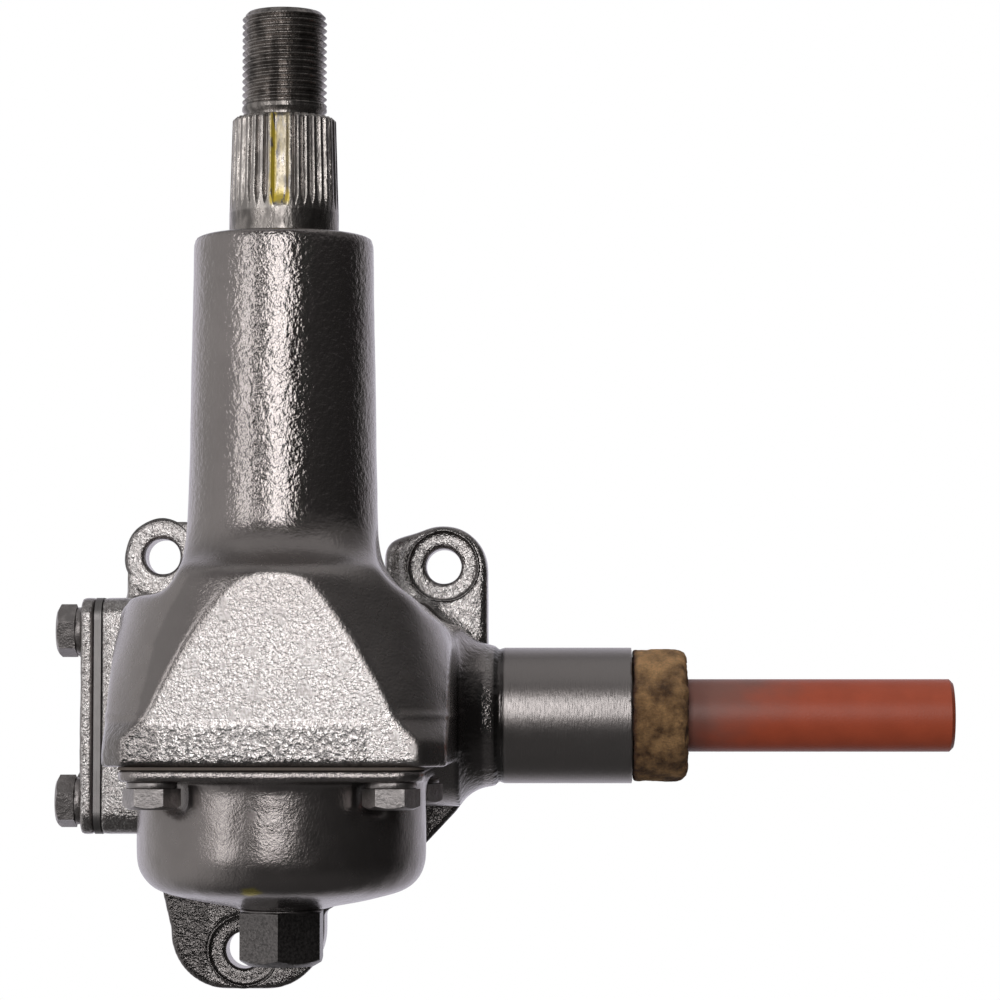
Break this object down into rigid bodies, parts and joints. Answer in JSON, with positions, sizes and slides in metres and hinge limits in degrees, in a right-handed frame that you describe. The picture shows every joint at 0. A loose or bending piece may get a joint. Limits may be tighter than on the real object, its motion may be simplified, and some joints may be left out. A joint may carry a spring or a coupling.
{
  "type": "steering gearbox",
  "caption": "Manual recirculating-ball steering gear: cast housing with neck, lugs and domed side cover; the steering shaft turns a serrated sector shaft for a steering arm.",
  "frame": {"origin": "on the flat mounting face at the back, level with the worm axis and in line with the sector shaft", "axes": "+Z along the sector shaft towards the arm end, +X along the steering shaft, +Y out of the mounting face towards the frame"},
  "size_m": [0.2446, 0.125, 0.2605],
  "materials": {
    "cast_paint": "gloss gunmetal paint over cast iron",
    "fastener": "paint over plated steel",
    "oiled_steel": "oiled dark steel",
    "red_primer": "satin red oxide primer",
    "felt": "oil-soaked felt",
    "bronze": "bearing bronze",
    "seal_rubber": "black lip seal",
    "gasket": "dark gasket sheet",
    "shim_steel": "thin steel shims",
    "bearing_steel": "ground bearing steel"
  },
  "bodies": {
    "gear_case": {"housing": "cast_paint", "upper_sector_bushing": "bronze", "lower_sector_bushing": "bronze", "sector_shaft_seal": "seal_rubber", "lash_adjuster_screw": "oiled_steel", "adjuster_shim": "bronze", "adjuster_cap_nut": "fastener", "adjuster_washer": "fastener", "side_cover": "cast_paint", "side_cover_bushing": "bronze", "side_cover_gasket": "gasket", "side_cover_bolts": "fastener", "side_cover_lockwashers": "fastener", "end_cover": "cast_paint", "end_cover_shims": "shim_steel", "end_cover_bolts": "fastener", "end_cover_lockwashers": "fastener", "lower_bearing_cup": "bearing_steel", "upper_bearing_cup": "bearing_steel", "felt_seal": "felt"},
    "steering_shaft": {"worm_shaft": "oiled_steel", "steering_shaft": "red_primer"},
    "ball_nut": {"ball_nut": "oiled_steel", "nut_balls": "bearing_steel", "ball_return_guides": "bearing_steel", "guide_clamp": "bearing_steel", "guide_clamp_screw": "bearing_steel"},
    "sector_shaft": {"sector_shaft": "oiled_steel"},
    "lower_bearing_set": {"lower_bearing_balls": "bearing_steel", "lower_bearing_cage": "bearing_steel"},
    "upper_bearing_set": {"upper_bearing_balls": "bearing_steel", "upper_bearing_cage": "bearing_steel"}
  },
  "joints": [
    {"name": "steering_shaft_spin", "type": "hinge", "parent": "gear_case", "child": "steering_shaft", "pos_m": [0, -0.026, 0], "axis": [1, 0, 0], "range_deg": [-659, 659]},
    {"name": "ball_nut_slide", "type": "slide", "parent": "gear_case", "child": "ball_nut", "axis": [1, 0, 0], "range_m": [-0.0173, 0.0173]},
    {"name": "sector_swing", "type": "hinge", "parent": "gear_case", "child": "sector_shaft", "pos_m": [0, -0.086, 0], "axis": [0, 0, 1], "range_deg": [-33, 33]},
    {"name": "lower_bearing_orbit", "type": "hinge", "parent": "gear_case", "child": "lower_bearing_set", "pos_m": [0, -0.026, 0], "axis": [1, 0, 0], "range_deg": [-275, 275]},
    {"name": "upper_bearing_orbit", "type": "hinge", "parent": "gear_case", "child": "upper_bearing_set", "pos_m": [0, -0.026, 0], "axis": [1, 0, 0], "range_deg": [-275, 275]}
  ],
  "couplings": [
    {"joint": "ball_nut_slide", "follows": "steering_shaft_spin", "m_per_rad": -0.0015},
    {"joint": "sector_swing", "follows": "steering_shaft_spin", "ratio": 0.05},
    {"joint": "lower_bearing_orbit", "follows": "steering_shaft_spin", "ratio": 0.4154},
    {"joint": "upper_bearing_orbit", "follows": "steering_shaft_spin", "ratio": 0.4154}
  ]
}
